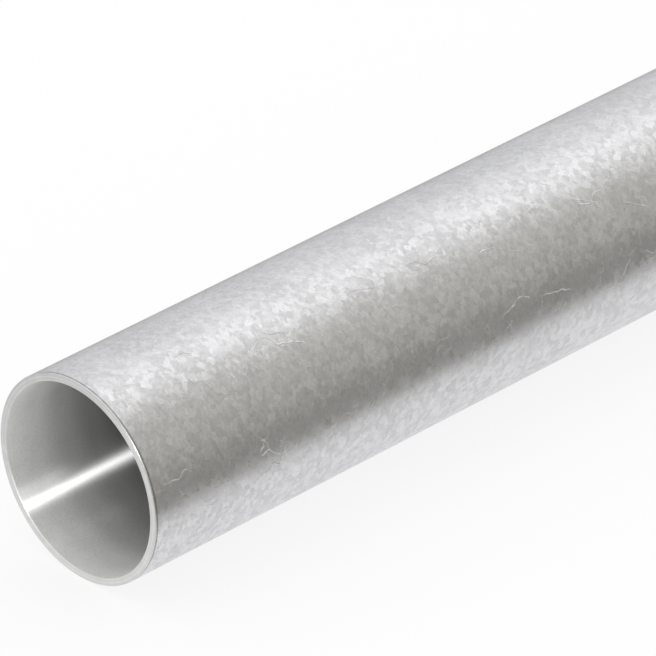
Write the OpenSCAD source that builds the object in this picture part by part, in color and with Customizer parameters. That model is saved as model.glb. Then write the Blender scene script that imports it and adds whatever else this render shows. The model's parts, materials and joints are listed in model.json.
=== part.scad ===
// Galvanised round steel tube: one straight cut length of thin-walled stock.
//
// The tube lies level along Y. The origin is on the line where it touches the
// floor, half way between its two ends, and Z points up. It is open at both
// ends, and each square cut end has its sharp edges broken by small bevels.

/* [Tube] */
// Outside diameter of the tube
tube_od = 60.3; // [21.3:0.1:168.3]
// Thickness of the wall
wall = 2.3; // [1.2:0.1:8]
// Length of the piece from cut end to cut end
tube_length = 1000; // [100:10:6000]

/* [Cut ends] */
// Bevel on the outside edge of each end
outer_bevel = 0.35; // [0.05:0.05:0.5]
// Bevel on the inside edge of each end
inner_bevel = 0.25; // [0.05:0.05:0.5]

/* [Hidden] */
outer_r = tube_od / 2;
bore_r = outer_r - wall;
half_length = tube_length / 2;
zinc = [0.75, 0.75, 0.76];
$fn = 96;

// One half of the wall's long section, as radius and height: the bore, the
// square cut face with a bevel on each side of it, and the outside.
function end_profile(side) = [
    [bore_r, side * (half_length - inner_bevel)],
    [bore_r + inner_bevel, side * half_length],
    [outer_r - outer_bevel, side * half_length],
    [outer_r, side * (half_length - outer_bevel)],
];

// The other end's points come in the opposite order, to close the outline.
function reversed(points) = [for (i = [len(points) - 1 : -1 : 0]) points[i]];

module wall_section() {
    polygon(concat(end_profile(1), reversed(end_profile(-1))));
}

// The whole tube, turned about its own axis and laid down along Y
module tube() {
    color(zinc)
        translate([0, 0, outer_r])
            rotate([90, 0, 0])
                rotate_extrude()
                    wall_section();
}

tube();
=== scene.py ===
"""A cut length of galvanised round steel tube: its mesh, its zinc finishes and a plain studio.

The tube lies along Y on a pale floor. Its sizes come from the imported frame's mounts, in metres.
"""

import json
import math

import bmesh
import bpy
from bpy.props import FloatProperty, FloatVectorProperty, IntProperty, PointerProperty
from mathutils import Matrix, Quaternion, Vector


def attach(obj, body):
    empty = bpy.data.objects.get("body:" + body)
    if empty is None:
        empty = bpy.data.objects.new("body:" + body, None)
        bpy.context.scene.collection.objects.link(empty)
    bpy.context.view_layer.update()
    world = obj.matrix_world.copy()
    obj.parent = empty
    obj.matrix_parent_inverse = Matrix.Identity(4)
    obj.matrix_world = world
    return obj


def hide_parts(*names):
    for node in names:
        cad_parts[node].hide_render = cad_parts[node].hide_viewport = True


bl_info = {
    "name": "Galvanised Steel Tube",
    "version": (1, 0, 0),
    "blender": (4, 5, 0),
    "location": "View3D > Sidebar > Steel Tube",
    "description": "Models a cut length of galvanised round steel tube and a studio round it",
    "category": "Add Mesh",
}

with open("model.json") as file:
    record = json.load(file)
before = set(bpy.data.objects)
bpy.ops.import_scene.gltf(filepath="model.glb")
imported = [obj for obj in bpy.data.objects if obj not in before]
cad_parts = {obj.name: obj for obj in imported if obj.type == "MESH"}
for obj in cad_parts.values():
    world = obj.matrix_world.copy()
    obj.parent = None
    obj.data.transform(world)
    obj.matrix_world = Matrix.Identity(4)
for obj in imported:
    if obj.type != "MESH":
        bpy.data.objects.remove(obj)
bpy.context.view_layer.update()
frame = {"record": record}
MOUNTS = {mount["name"]: mount for mount in frame["record"]["mounts"]}
MM = 0.001
OUTER_RADIUS = MOUNTS["front_outside"]["dims"]["r_mm"] * MM
BORE_RADIUS = MOUNTS["front_bore"]["dims"]["r_mm"] * MM
FRONT_END = MOUNTS["front_end_face"]["pos_m"][1]
LENGTH = MOUNTS["back_end_face"]["pos_m"][1] - FRONT_END
OUTER_BEVEL = (LENGTH - MOUNTS["front_outside"]["dims"]["length_mm"] * MM) / 2
INNER_BEVEL = (LENGTH - MOUNTS["front_bore"]["dims"]["length_mm"] * MM) / 2
TUBE_NAME = "galvanised_tube"
ALONG_TUBE = Vector((0, 1, 0))


# ---------------------------------------------------------------- settings


class TubeSizes(bpy.types.PropertyGroup):
    """Sizes of the tube."""

    outer_diameter: FloatProperty(
        name="Outside diameter",
        description="Diameter over the outside of the tube",
        default=OUTER_RADIUS * 2,
        unit="LENGTH",
    )
    wall: FloatProperty(
        name="Wall",
        description="Thickness of the wall",
        default=OUTER_RADIUS - BORE_RADIUS,
        unit="LENGTH",
    )
    length: FloatProperty(
        name="Length",
        description="Length from cut end to cut end",
        default=LENGTH,
        unit="LENGTH",
    )
    outer_bevel: FloatProperty(
        name="Outer bevel",
        description="Width of the broken edge outside each end",
        default=OUTER_BEVEL,
        unit="LENGTH",
    )
    inner_bevel: FloatProperty(
        name="Inner bevel",
        description="Width of the broken edge inside each end",
        default=INNER_BEVEL,
        unit="LENGTH",
    )
    segments: IntProperty(
        name="Segments",
        description="Faces round the tube",
        default=256,
        min=64,
    )


class ZincLook(bpy.types.PropertyGroup):
    """Colours and grain of the zinc coating, and the depth of the painted shade in the bore."""

    outside_colour: FloatVectorProperty(
        name="Zinc",
        description="Colour of the zinc outside",
        subtype="COLOR",
        default=(0.797, 0.795, 0.807),
    )
    bore_colour: FloatVectorProperty(
        name="Bore",
        description="Colour of the zinc inside the bore",
        subtype="COLOR",
        default=(0.95, 0.95, 0.93),
    )
    rim_colour: FloatVectorProperty(
        name="Cut rim",
        description="Colour of the cut ends",
        subtype="COLOR",
        default=(0.86, 0.86, 0.84),
    )
    spangle: FloatProperty(
        name="Spangle",
        description="Size of one large zinc crystal",
        default=1.8 * MM,
        unit="LENGTH",
    )
    # Painted shade: the depth in the bore at which the bore's colour is darkest.
    painted_shade_depth: FloatProperty(
        name="Painted shade depth",
        description="Depth in the bore at which the zinc is at its dullest",
        default=40 * MM,
        unit="LENGTH",
    )


class StudioSettings(bpy.types.PropertyGroup):
    """Where the camera stands, and the floor's colour."""

    azimuth: FloatProperty(
        name="Azimuth",
        description="Camera's turn round the tube",
        default=math.radians(45.8),
        subtype="ANGLE",
    )
    elevation: FloatProperty(
        name="Elevation",
        description="Camera's height over the horizon",
        default=math.radians(31.0),
        subtype="ANGLE",
    )
    distance: FloatProperty(
        name="Distance",
        description="Camera's distance from the cut end, along its own line of sight",
        default=66.5 * OUTER_RADIUS,
        unit="LENGTH",
    )
    lens: FloatProperty(
        name="Lens",
        description="Focal length in millimetres",
        default=419.7,
    )
    floor_colour: FloatVectorProperty(
        name="Floor",
        description="Colour of the floor",
        subtype="COLOR",
        default=(1.0, 1.0, 1.0),
    )


# ---------------------------------------------------------------- nodes


def put(tree, kind, inputs=None, **settings):
    """Adds a node. An input is linked when its value is a socket, and set when it is a plain value."""
    made = tree.nodes.new(kind)
    for name, value in settings.items():
        setattr(made, name, value)
    for name, value in (inputs or {}).items():
        if isinstance(value, bpy.types.NodeSocket):
            tree.links.new(value, made.inputs[name])
        else:
            made.inputs[name].default_value = value
    return made


def emptied_tree(holder):
    """The node tree of a material, a world or a lamp, with no nodes left in it."""
    holder.use_nodes = True
    holder.node_tree.nodes.clear()
    return holder.node_tree


def maths(tree, operation, first, second=0.0, third=0.0):
    """A Math node's result."""
    return put(tree, "ShaderNodeMath", {0: first, 1: second, 2: third}, operation=operation).outputs[0]


def vector_maths(tree, operation, first, second=(0, 0, 0), output="Vector"):
    """One result of a Vector Math node."""
    return put(tree, "ShaderNodeVectorMath", {0: first, 1: second}, operation=operation).outputs[output]


def scaled(tree, vector, factor):
    """A vector or a colour times a number."""
    node = put(tree, "ShaderNodeVectorMath", {"Vector": vector, "Scale": factor}, operation="SCALE")
    return node.outputs["Vector"]


def split(tree, vector):
    """A vector's X, Y and Z."""
    return put(tree, "ShaderNodeSeparateXYZ", {0: vector}).outputs


def ranged(tree, value, low, high, to_low, to_high, kind="LINEAR"):
    """A value mapped from one range to another, and held at its ends."""
    inputs = {"Value": value, "From Min": low, "From Max": high, "To Min": to_low, "To Max": to_high}
    return put(tree, "ShaderNodeMapRange", inputs, interpolation_type=kind).outputs["Result"]


def noise(tree, vector, size, detail=2.0):
    """A Noise Texture whose features are about size across."""
    inputs = {"Vector": vector, "Scale": 1 / size, "Detail": detail}
    return put(tree, "ShaderNodeTexNoise", inputs).outputs


def mottled(tree, value, darkest, brightest):
    """A noise value as a brightness, from the darkest to the brightest."""
    low, high = 0.3, 0.7
    return ranged(tree, value, low, high, darkest, brightest)


def centred(tree, colour):
    """A random colour as a vector about zero."""
    return vector_maths(tree, "SUBTRACT", colour, (0.5, 0.5, 0.5))


def bumped(tree, height, strength, distance, normal=None):
    """The normal of a surface raised by height."""
    inputs = {"Height": height, "Strength": strength, "Distance": distance}
    if normal is not None:
        inputs["Normal"] = normal
    return put(tree, "ShaderNodeBump", inputs).outputs["Normal"]


def grey(value, warmth=0.0):
    """A grey, made warmer by a positive warmth and cooler by a negative one."""
    green_share = 0.52
    return (value * (1 + warmth), value * (1 + warmth * green_share), value * (1 - warmth))


def ramp(tree, value, stops):
    """A smooth ramp of greys. A stop is a place from 0 to 1, a brightness and maybe a warmth."""
    node = put(tree, "ShaderNodeValToRGB", {"Fac": value})
    node.color_ramp.interpolation = "EASE"
    elements = node.color_ramp.elements
    elements.remove(elements[1])
    elements[0].position = stops[0][0]
    for place, *_ in stops[1:]:
        elements.new(place)
    for element, (_, *shade) in zip(elements, stops):
        element.color = (*grey(*shade), 1)
    return node.outputs["Color"]


def new_material(name):
    """A material with an empty tree, and the Object coordinates in it."""
    material = bpy.data.materials.new(name)
    tree = emptied_tree(material)
    place = put(tree, "ShaderNodeTexCoord").outputs["Object"]
    return material, tree, place


def add_surface(tree, inputs):
    """Gives a material a Principled surface with these inputs."""
    shader = put(tree, "ShaderNodeBsdfPrincipled", inputs)
    put(tree, "ShaderNodeOutputMaterial", {"Surface": shader.outputs["BSDF"]})


# ---------------------------------------------------------------- finishes


def wandering(tree, place, size, reach):
    """Coordinates pushed about by noise, so that a pattern on them loses its straight edges."""
    shift = centred(tree, noise(tree, place, size)["Color"])
    return vector_maths(tree, "ADD", place, scaled(tree, shift, reach))


def crystals(tree, place, size):
    """A random vector for each zinc crystal, from -0.5 to 0.5."""
    cells = put(tree, "ShaderNodeTexVoronoi", {"Vector": place, "Scale": 1 / size})
    return centred(tree, cells.outputs["Color"])


def creases(tree, place, size, width, patch):
    """The height of fine wandering creases round cells of this size, shown only in patches."""
    bend_size, bend_reach = size * 0.5, size * 0.45
    inputs = {"Vector": wandering(tree, place, bend_size, bend_reach), "Scale": 1 / size}
    cells = put(tree, "ShaderNodeTexVoronoi", inputs, feature="DISTANCE_TO_EDGE")
    line = ranged(tree, cells.outputs["Distance"], 0.0, width / size, 1.0, 0.0, "SMOOTHSTEP")
    patches = noise(tree, place, patch, detail=1)["Fac"]
    bare_below, full_above = 0.54, 0.65
    return maths(tree, "MULTIPLY", line, ranged(tree, patches, bare_below, full_above, 0.0, 1.0))


def zinc_outside(look, half_length):
    """Spangled zinc: crystals that differ in lean, brightness and gloss, clouds and fine creases."""
    material, tree, place = new_material("zinc_outside")
    small_spangle = look.spangle * 0.45
    bend_size = look.spangle * 0.8
    cloud_size = 14 * MM
    shorter_along = {"Vector": place, "Scale": (1, 1.15, 1)}
    squeezed = put(tree, "ShaderNodeMapping", shorter_along).outputs["Vector"]
    bent = wandering(tree, squeezed, bend_size, look.spangle)
    large = crystals(tree, bent, look.spangle)
    small = crystals(tree, bent, small_spangle)
    cloud = centred(tree, noise(tree, place, cloud_size, detail=3)["Color"])

    large_lean, small_lean, cloud_lean = 0.062, 0.045, 0.08
    lean = vector_maths(tree, "ADD", scaled(tree, large, large_lean), scaled(tree, small, small_lean))
    lean = vector_maths(tree, "ADD", lean, scaled(tree, cloud, cloud_lean))
    normal = put(tree, "ShaderNodeNewGeometry").outputs["Normal"]
    leaning = vector_maths(tree, "NORMALIZE", vector_maths(tree, "ADD", normal, lean))

    long_creases = creases(tree, place, size=20 * MM, width=0.18 * MM, patch=16 * MM)
    short_creases = creases(tree, place, size=5 * MM, width=0.13 * MM, patch=6 * MM)
    short_height = 0.4
    height = maths(tree, "MULTIPLY_ADD", short_creases, short_height, long_creases)

    darkest_at, brightest_at = -0.35, 0.42
    darkest, brightest = 0.931, 1.063
    large_z = split(tree, large)["Z"]
    light = ranged(tree, large_z, darkest_at, brightest_at, darkest, brightest, "SMOOTHSTEP")
    small_light, cloud_light, crease_light = 0.13, 0.13, 0.10
    light = maths(tree, "MULTIPLY_ADD", split(tree, small)["Z"], small_light, light)
    light = maths(tree, "MULTIPLY_ADD", split(tree, cloud)["Z"], cloud_light, light)
    light = maths(tree, "MULTIPLY_ADD", height, crease_light, light)

    # Painted dark line round the outside of each end: the zinc is darkened to 0.45 of its colour, fading
    # in from 1.0 mm to 0.6 mm before the end.
    edge_line_start, edge_line_end, edge_line_level = 1.0 * MM, 0.6 * MM, 0.45
    from_middle = maths(tree, "ABSOLUTE", split(tree, place)["Y"])
    painted_edge_line = ranged(tree, from_middle, half_length - edge_line_start, half_length - edge_line_end, 1.0, edge_line_level)
    light = maths(tree, "MULTIPLY", light, painted_edge_line)

    mean_roughness, roughness_spread = 0.33, -0.17
    add_surface(tree, {
        "Metallic": 1.0,
        "Base Color": scaled(tree, look.outside_colour, light),
        "Roughness": maths(tree, "MULTIPLY_ADD", large_z, roughness_spread, mean_roughness),
        "Normal": bumped(tree, height, strength=0.8, distance=0.12 * MM, normal=leaning),
    })
    return material


def zinc_bore(look, half_length):
    """The bore's plain zinc, marked round and round, with painted shade: bright at the ends and darker
    deeper in.
    """
    material, tree, place = new_material("zinc_bore")
    grain_size, cloud_size = 0.45 * MM, 9 * MM
    grain = mottled(tree, noise(tree, place, grain_size)["Fac"], 0.90, 1.08)
    cloud = mottled(tree, noise(tree, place, cloud_size, detail=3)["Fac"], 0.96, 1.04)

    # Painted shade: the bore's colour falls from full at each end to 0.28 of it at the painted shade
    # depth and beyond.
    from_middle = maths(tree, "ABSOLUTE", split(tree, place)["Y"])
    depth = maths(tree, "SUBTRACT", half_length, from_middle)
    share = ranged(tree, depth, 0.0, look.painted_shade_depth, 0.0, 1.0)
    painted_bore_shade = ramp(tree, share, [(0.0, 1.0), (0.25, 0.87), (0.5, 0.61), (0.75, 0.42), (1.0, 0.28)])
    light = maths(tree, "MULTIPLY", maths(tree, "MULTIPLY", grain, cloud), painted_bore_shade)

    around = put(tree, "ShaderNodeTangent", direction_type="RADIAL", axis="Y").outputs["Tangent"]
    add_surface(tree, {
        "Metallic": 0.10,
        "IOR": 2.6,
        "Roughness": 0.36,
        "Anisotropic": 1.0,
        "Anisotropic Rotation": 0.25,
        "Base Color": scaled(tree, look.bore_colour, light),
        "Tangent": around,
    })
    return material


def cut_rim(look, bore_radius, outer_radius):
    """The cut and deburred ends, turned in fine rings, with painted highlights: a bright ring at the
    inner edge and one in the middle of the wall.
    """
    material, tree, place = new_material("cut_rim")
    from_axis = vector_maths(tree, "SUBTRACT", place, (0, 0, outer_radius))
    flat = vector_maths(tree, "MULTIPLY", from_axis, (1, 0, 1))
    radius = vector_maths(tree, "LENGTH", flat, output="Value")
    share = ranged(tree, radius, bore_radius, outer_radius, 0.0, 1.0)
    ring_inputs = {"W": share, "Scale": 9.0, "Detail": 3.0}
    rings = put(tree, "ShaderNodeTexNoise", ring_inputs, noise_dimensions="1D").outputs["Fac"]
    wear_size = 3 * MM
    wear = mottled(tree, noise(tree, place, wear_size, detail=3)["Fac"], 0.95, 1.03)
    light = maths(tree, "MULTIPLY", mottled(tree, rings, 0.95, 1.04), wear)
    # Painted highlights: the rim is lighter at its inner edge and in a narrow ring in the middle of the
    # wall.
    stops = [(0.0, 1.14), (0.12, 0.98), (0.50, 0.97), (0.58, 1.14), (0.66, 0.96), (1.0, 0.94)]
    light = maths(tree, "MULTIPLY", light, ramp(tree, share, stops))
    add_surface(tree, {
        "Metallic": 1.0,
        "Roughness": 0.42,
        "Base Color": scaled(tree, look.rim_colour, light),
        "Normal": bumped(tree, rings, strength=0.25, distance=0.05 * MM),
    })
    return material


# ---------------------------------------------------------------- modelling


# The tube's material slots
OUTSIDE, BORE, RIM = range(3)


def edit_mesh(tube):
    """The tube's mesh in edit mode, with nothing selected."""
    bpy.ops.object.mode_set(mode="EDIT")
    bpy.ops.mesh.select_all(action="DESELECT")
    mesh = bmesh.from_edit_mesh(tube.data)
    mesh.faces.ensure_lookup_table()
    return mesh


def select_ends(tube):
    """Selects the flat faces that close the tube's ends."""
    facing_along = 0.9
    bpy.context.tool_settings.mesh_select_mode = (False, False, True)
    mesh = edit_mesh(tube)
    for face in mesh.faces:
        face.select_set(abs(face.normal.y) > facing_along)
    bmesh.update_edit_mesh(tube.data)


def select_rim_edges(tube, radius, half_length, centre):
    """Selects the two circles of edges of this radius, one at each end."""
    end_slack = 0.01 * MM
    radius_slack = 0.05 * MM
    bpy.context.tool_settings.mesh_select_mode = (False, True, False)
    mesh = edit_mesh(tube)
    for edge in mesh.edges:
        on_circle = all(
            abs(abs(vert.co.y) - half_length) < end_slack
            and abs(math.hypot(vert.co.x, vert.co.z - centre) - radius) < radius_slack
            for vert in edge.verts
        )
        edge.select_set(on_circle)
    bmesh.update_edit_mesh(tube.data)


def open_bore(tube, wall):
    """Insets both end faces by the wall and bridges them into a bore."""
    select_ends(tube)
    bpy.ops.mesh.inset(thickness=wall, use_even_offset=True)
    bpy.ops.mesh.bridge_edge_loops()
    bpy.ops.object.mode_set(mode="OBJECT")


def break_edge(tube, radius, half_length, centre, width, segments):
    """Bevels the sharp circle of this radius at each end."""
    select_rim_edges(tube, radius, half_length, centre)
    bpy.ops.mesh.bevel(offset=width, segments=segments, profile=0.5, affect="EDGES")
    bpy.ops.object.mode_set(mode="OBJECT")


def bisect_middle(tube):
    """Cuts the tube's long faces in two at the middle of its length."""
    bpy.ops.object.mode_set(mode="EDIT")
    bpy.ops.mesh.select_all(action="SELECT")
    bpy.ops.mesh.bisect(plane_co=(0, 0, 0), plane_no=ALONG_TUBE)
    bpy.ops.object.mode_set(mode="OBJECT")


def assign_finishes(tube, centre, materials):
    """Gives the outside, the bore and the cut ends their own finishes, in the order of the slots."""
    facing_along = 0.05
    for material in materials:
        tube.data.materials.append(material)
    for face in tube.data.polygons:
        outward = Vector((face.center.x, 0, face.center.z - centre)).dot(face.normal)
        if abs(face.normal.y) > facing_along:
            face.material_index = RIM
        else:
            face.material_index = OUTSIDE if outward > 0 else BORE


def strip_of(face):
    """The lower edge and the height of the map strip that a face lies on."""
    gap = 0.003
    low = gap
    for finish, height in ((OUTSIDE, 0.33), (BORE, 0.13), (RIM, 0.03)):
        if face.material_index == finish:
            back = face.center.y > 0
            return low + (height + gap) * back, height
        low += 2 * (height + gap)


def lay_out_map(tube, outer_radius, bore_radius, half_length, outer_bevel):
    """A UV map of long strips: the outside and the bore of each half, then the cut end of each half."""
    mesh = tube.data
    layer = mesh.uv_layers.new(name="OFBake")
    margin = 0.003
    centre = outer_radius
    middle_radius = (bore_radius + outer_radius) / 2
    wall_width = outer_radius - bore_radius + 2 * outer_bevel
    for face in mesh.polygons:
        low, height = strip_of(face)
        face_turn = math.atan2(face.center.x, face.center.z - centre)
        for corner in face.loop_indices:
            place = mesh.vertices[mesh.loops[corner].vertex_index].co
            turn = math.atan2(place.x, place.z - centre)
            turn += 2 * math.pi * round((face_turn - turn) / (2 * math.pi))
            around = turn / (2 * math.pi) + 0.5
            if face.material_index == RIM:
                from_middle = math.hypot(place.x, place.z - centre) - middle_radius
                past_edge = math.copysign(half_length - abs(place.y), from_middle)
                u = around
                v = low + height * ((from_middle + past_edge) / wall_width + 0.5)
            else:
                u = abs(place.y) / half_length
                v = low + height * around
            layer.data[corner].uv = (margin + (1 - 2 * margin) * u, v)


class TUBE_OT_build_tube(bpy.types.Operator):
    """Model the tube and give it its zinc finish"""

    bl_idname = "tube.build_tube"
    bl_label = "Build Tube"
    bl_options = {"REGISTER", "UNDO"}

    def execute(self, context):
        sizes = context.scene.tube_sizes
        look = context.scene.zinc_look
        outer_radius = sizes.outer_diameter / 2
        bore_radius = outer_radius - sizes.wall
        half_length = sizes.length / 2
        centre = outer_radius
        bpy.ops.object.select_all(action="DESELECT")
        bpy.ops.mesh.primitive_cylinder_add(
            vertices=sizes.segments,
            radius=outer_radius,
            depth=sizes.length,
            calc_uvs=False,
            location=(0, 0, centre),
            rotation=(math.radians(90), 0, 0),
        )
        tube = context.active_object
        tube.name = TUBE_NAME
        tube.data.name = TUBE_NAME
        bpy.ops.object.transform_apply(location=True, rotation=True, scale=True)
        open_bore(tube, sizes.wall)
        break_edge(tube, outer_radius, half_length, centre, sizes.outer_bevel, segments=3)
        break_edge(tube, bore_radius, half_length, centre, sizes.inner_bevel, segments=2)
        bisect_middle(tube)
        finishes = (
            zinc_outside(look, half_length),
            zinc_bore(look, half_length),
            cut_rim(look, bore_radius, outer_radius),
        )
        assign_finishes(tube, centre, finishes)
        lay_out_map(tube, outer_radius, bore_radius, half_length, sizes.outer_bevel)
        smooth_below = math.radians(8)
        bpy.ops.object.shade_smooth_by_angle(angle=smooth_below)
        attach(tube, "root")
        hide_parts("tube")
        return {"FINISHED"}


# ---------------------------------------------------------------- studio


# What the metal mirrors of the room: turn about the tube from the floor's +X side, brightness, warmth
ROOM_IN_METAL = [
    (0, 0.285, 0.055),
    (17, 0.385, 0.055),
    (40, 0.445, 0.052),
    (63, 0.51, 0.045),
    (75, 0.67, 0.02),
    (88, 0.905, 0.005),
    (102, 1.08, -0.002),
    (116, 0.99, -0.004),
    (130, 0.90, -0.006),
    (146, 0.79, -0.006),
    (163, 0.69, -0.008),
    (180, 0.68, -0.01),
]
# What the metal mirrors of the floor: distance to the side of the tube's middle, brightness, warmth
FLOOR_IN_METAL = [
    (-0.25, 0.62, -0.01),
    (-0.20, 0.36, 0.0),
    (-0.12, 0.36, 0.0),
    (-0.09, 0.72, -0.01),
    (0.04, 0.79, -0.006),
    (0.055, 0.73, 0.0),
    (0.10, 0.215, 0.065),
    (0.25, 0.24, 0.055),
]
LAMP_DISTANCE = 1.5
LAMP_RADIUS = 2 * MM
FLOOR_SIZE = 200


def light_world(scene):
    """A white room. What the metal reflects of it is a long soft light over the tube, and dark walls."""
    world = bpy.data.worlds.new("studio")
    scene.world = world
    tree = emptied_tree(world)
    direction = split(tree, put(tree, "ShaderNodeTexCoord").outputs["Generated"])
    turn = maths(tree, "ARCTAN2", direction["Z"], direction["X"])
    share = ranged(tree, turn, 0.0, math.pi, 0.0, 1.0)
    lit = ramp(tree, share, [(degrees / 180, *shade) for degrees, *shade in ROOM_IN_METAL])
    mirrored = put(tree, "ShaderNodeLightPath").outputs["Is Glossy Ray"]
    inputs = {"Factor": mirrored, "A": (1, 1, 1, 1), "B": lit}
    seen = put(tree, "ShaderNodeMix", inputs, data_type="RGBA").outputs["Result"]
    background = put(tree, "ShaderNodeBackground", {"Color": seen})
    put(tree, "ShaderNodeOutputWorld", {"Surface": background.outputs[0]})


def floor_finish(colour):
    """Pale matt floor. In the metal it is bright beside the tube and dark further off."""
    glow_share = 0.8
    material = bpy.data.materials.new("pale_floor")
    tree = emptied_tree(material)
    across = split(tree, put(tree, "ShaderNodeNewGeometry").outputs["Position"])["X"]
    left, right = FLOOR_IN_METAL[0][0], FLOOR_IN_METAL[-1][0]
    share = ranged(tree, across, left, right, 0.0, 1.0)
    stops = [((x - left) / (right - left), *shade) for x, *shade in FLOOR_IN_METAL]
    matt = put(tree, "ShaderNodeBsdfDiffuse", {"Color": (*colour, 1)}).outputs[0]
    glow = put(tree, "ShaderNodeEmission", {"Color": (*colour, 1)}).outputs[0]
    table = put(tree, "ShaderNodeMixShader", {0: glow_share, 1: matt, 2: glow}).outputs[0]
    shine = put(tree, "ShaderNodeEmission", {"Color": ramp(tree, share, stops)}).outputs[0]
    mirrored = put(tree, "ShaderNodeLightPath").outputs["Is Glossy Ray"]
    mixed = put(tree, "ShaderNodeMixShader", {0: mirrored, 1: table, 2: shine}).outputs[0]
    put(tree, "ShaderNodeOutputMaterial", {"Surface": mixed})
    return material


def add_spot(name, target, direction, radius, power, blend=0.25):
    """A small spotlight on a round patch of this radius. Only glossy surfaces show it."""
    bpy.ops.object.light_add(type="SPOT", location=target + direction * LAMP_DISTANCE)
    lamp = bpy.context.active_object
    lamp.name = name
    lamp.data.energy = power
    lamp.data.shadow_soft_size = LAMP_RADIUS
    lamp.data.spot_size = 2 * math.atan(radius / LAMP_DISTANCE)
    lamp.data.spot_blend = blend
    lamp.rotation_euler = direction.to_track_quat("Z", "Y").to_euler()
    lamp.visible_diffuse = False
    lamp.visible_camera = False
    lamp.data.cycles.max_bounces = 0
    return lamp


def narrow_beam(lamp, target, full_width, reach, rest):
    """Dims a spotlight on both sides of the plane through it and the tube's axis, down to a rest."""
    to_lamp = lamp.location - target
    across = to_lamp.cross(ALONG_TUBE).normalized()
    across.rotate(lamp.rotation_euler.to_quaternion().inverted())
    tree = emptied_tree(lamp.data)
    ray = put(tree, "ShaderNodeTexCoord").outputs["Normal"]
    sideways = vector_maths(tree, "DOT_PRODUCT", ray, across, output="Value")
    slope = maths(tree, "ABSOLUTE", maths(tree, "DIVIDE", sideways, split(tree, ray)["Z"]))
    offset = maths(tree, "MULTIPLY", slope, to_lamp.length)
    strength = ranged(tree, offset, full_width, reach, 1.0, rest, "SMOOTHSTEP")
    light = put(tree, "ShaderNodeEmission", {"Strength": strength}).outputs[0]
    put(tree, "ShaderNodeOutputLight", {"Surface": light})


def turned(direction, degrees):
    """A direction turned about the tube's axis."""
    return Quaternion(ALONG_TUBE, math.radians(degrees)) @ direction


def light_bore(studio):
    """Three spotlights into the open end: a bright streak, the glow over it and a faint streak below."""
    size = OUTER_RADIUS
    open_end = Vector((0, FRONT_END, size))
    streak_turn, glow_turn = -0.8, 14.8
    beam = turned(-camera_axes(studio)[2], streak_turn)
    streak = add_spot("bore_light", open_end, beam, radius=size * 0.66, power=185.0)
    narrow_beam(streak, open_end, full_width=size * 0.015, reach=size * 0.08, rest=0.3)
    glow = open_end + Vector((-0.79, 0.20, -0.475)) * size
    upper_beam = turned(beam, glow_turn)
    add_spot("upper_bore_light", glow, upper_beam, radius=size * 0.35, power=30.0, blend=1.0)
    low_streak = open_end + Vector((-0.38, 0.30, -0.85)) * size
    from_above = Vector((-0.045, -0.643, 0.765)).normalized()
    add_spot("low_bore_light", low_streak, from_above, radius=size * 0.5, power=4.5)


def camera_axes(studio):
    """The camera's right, up and forward directions."""
    azimuth, elevation = studio.azimuth, studio.elevation
    right = Vector((math.cos(azimuth), math.sin(azimuth), 0))
    forward = Vector((
        -math.sin(azimuth) * math.cos(elevation),
        math.cos(azimuth) * math.cos(elevation),
        -math.sin(elevation),
    ))
    return right, right.cross(forward), forward


def add_camera(scene, studio):
    """A long lens, with the cut end low and to the left in the picture."""
    end_to_right, end_up = -2.180, -1.322
    right, up, forward = camera_axes(studio)
    open_end = Vector((0, FRONT_END, OUTER_RADIUS))
    end_in_view = right * end_to_right + up * end_up
    bpy.ops.object.camera_add()
    camera = bpy.context.active_object
    camera.name = "studio_camera"
    camera.data.lens = studio.lens
    camera.data.clip_end = FLOOR_SIZE
    camera.location = open_end - end_in_view * OUTER_RADIUS - forward * studio.distance
    camera.rotation_euler = forward.to_track_quat("-Z", "Y").to_euler()
    scene.camera = camera


class TUBE_OT_build_stage(bpy.types.Operator):
    """Set up the floor, the lights and the camera"""

    bl_idname = "tube.build_stage"
    bl_label = "Build Stage"
    bl_options = {"REGISTER", "UNDO"}

    def execute(self, context):
        scene = context.scene
        studio = scene.tube_studio
        scene.view_settings.view_transform = "Standard"
        bpy.ops.object.select_all(action="DESELECT")
        bpy.ops.mesh.primitive_plane_add(size=FLOOR_SIZE, location=(0, 0, 0))
        floor = context.active_object
        floor.name = "studio_floor"
        floor.data.materials.append(floor_finish(studio.floor_colour))
        light_world(scene)
        light_bore(studio)
        add_camera(scene, studio)
        return {"FINISHED"}


class TUBE_PT_panel(bpy.types.Panel):
    """Lists the tube's sizes, finish and studio, and the buttons that build them"""

    bl_idname = "TUBE_PT_panel"
    bl_label = "Steel Tube"
    bl_space_type = "VIEW_3D"
    bl_region_type = "UI"
    bl_category = "Steel Tube"

    def draw(self, context):
        scene = context.scene
        for settings in (scene.tube_sizes, scene.zinc_look, scene.tube_studio):
            column = self.layout.column(align=True)
            for name in settings.__annotations__:
                column.prop(settings, name)
        self.layout.operator(TUBE_OT_build_tube.bl_idname)
        self.layout.operator(TUBE_OT_build_stage.bl_idname)


CLASSES = (TubeSizes, ZincLook, StudioSettings, TUBE_OT_build_tube, TUBE_OT_build_stage, TUBE_PT_panel)


def register():
    for cls in CLASSES:
        bpy.utils.register_class(cls)
    bpy.types.Scene.tube_sizes = PointerProperty(type=TubeSizes)
    bpy.types.Scene.zinc_look = PointerProperty(type=ZincLook)
    bpy.types.Scene.tube_studio = PointerProperty(type=StudioSettings)


def unregister():
    del bpy.types.Scene.tube_studio
    del bpy.types.Scene.zinc_look
    del bpy.types.Scene.tube_sizes
    for cls in reversed(CLASSES):
        bpy.utils.unregister_class(cls)


def main():
    register()
    bpy.ops.tube.build_tube()
    bpy.ops.tube.build_stage()


if __name__ == "__main__":
    main()
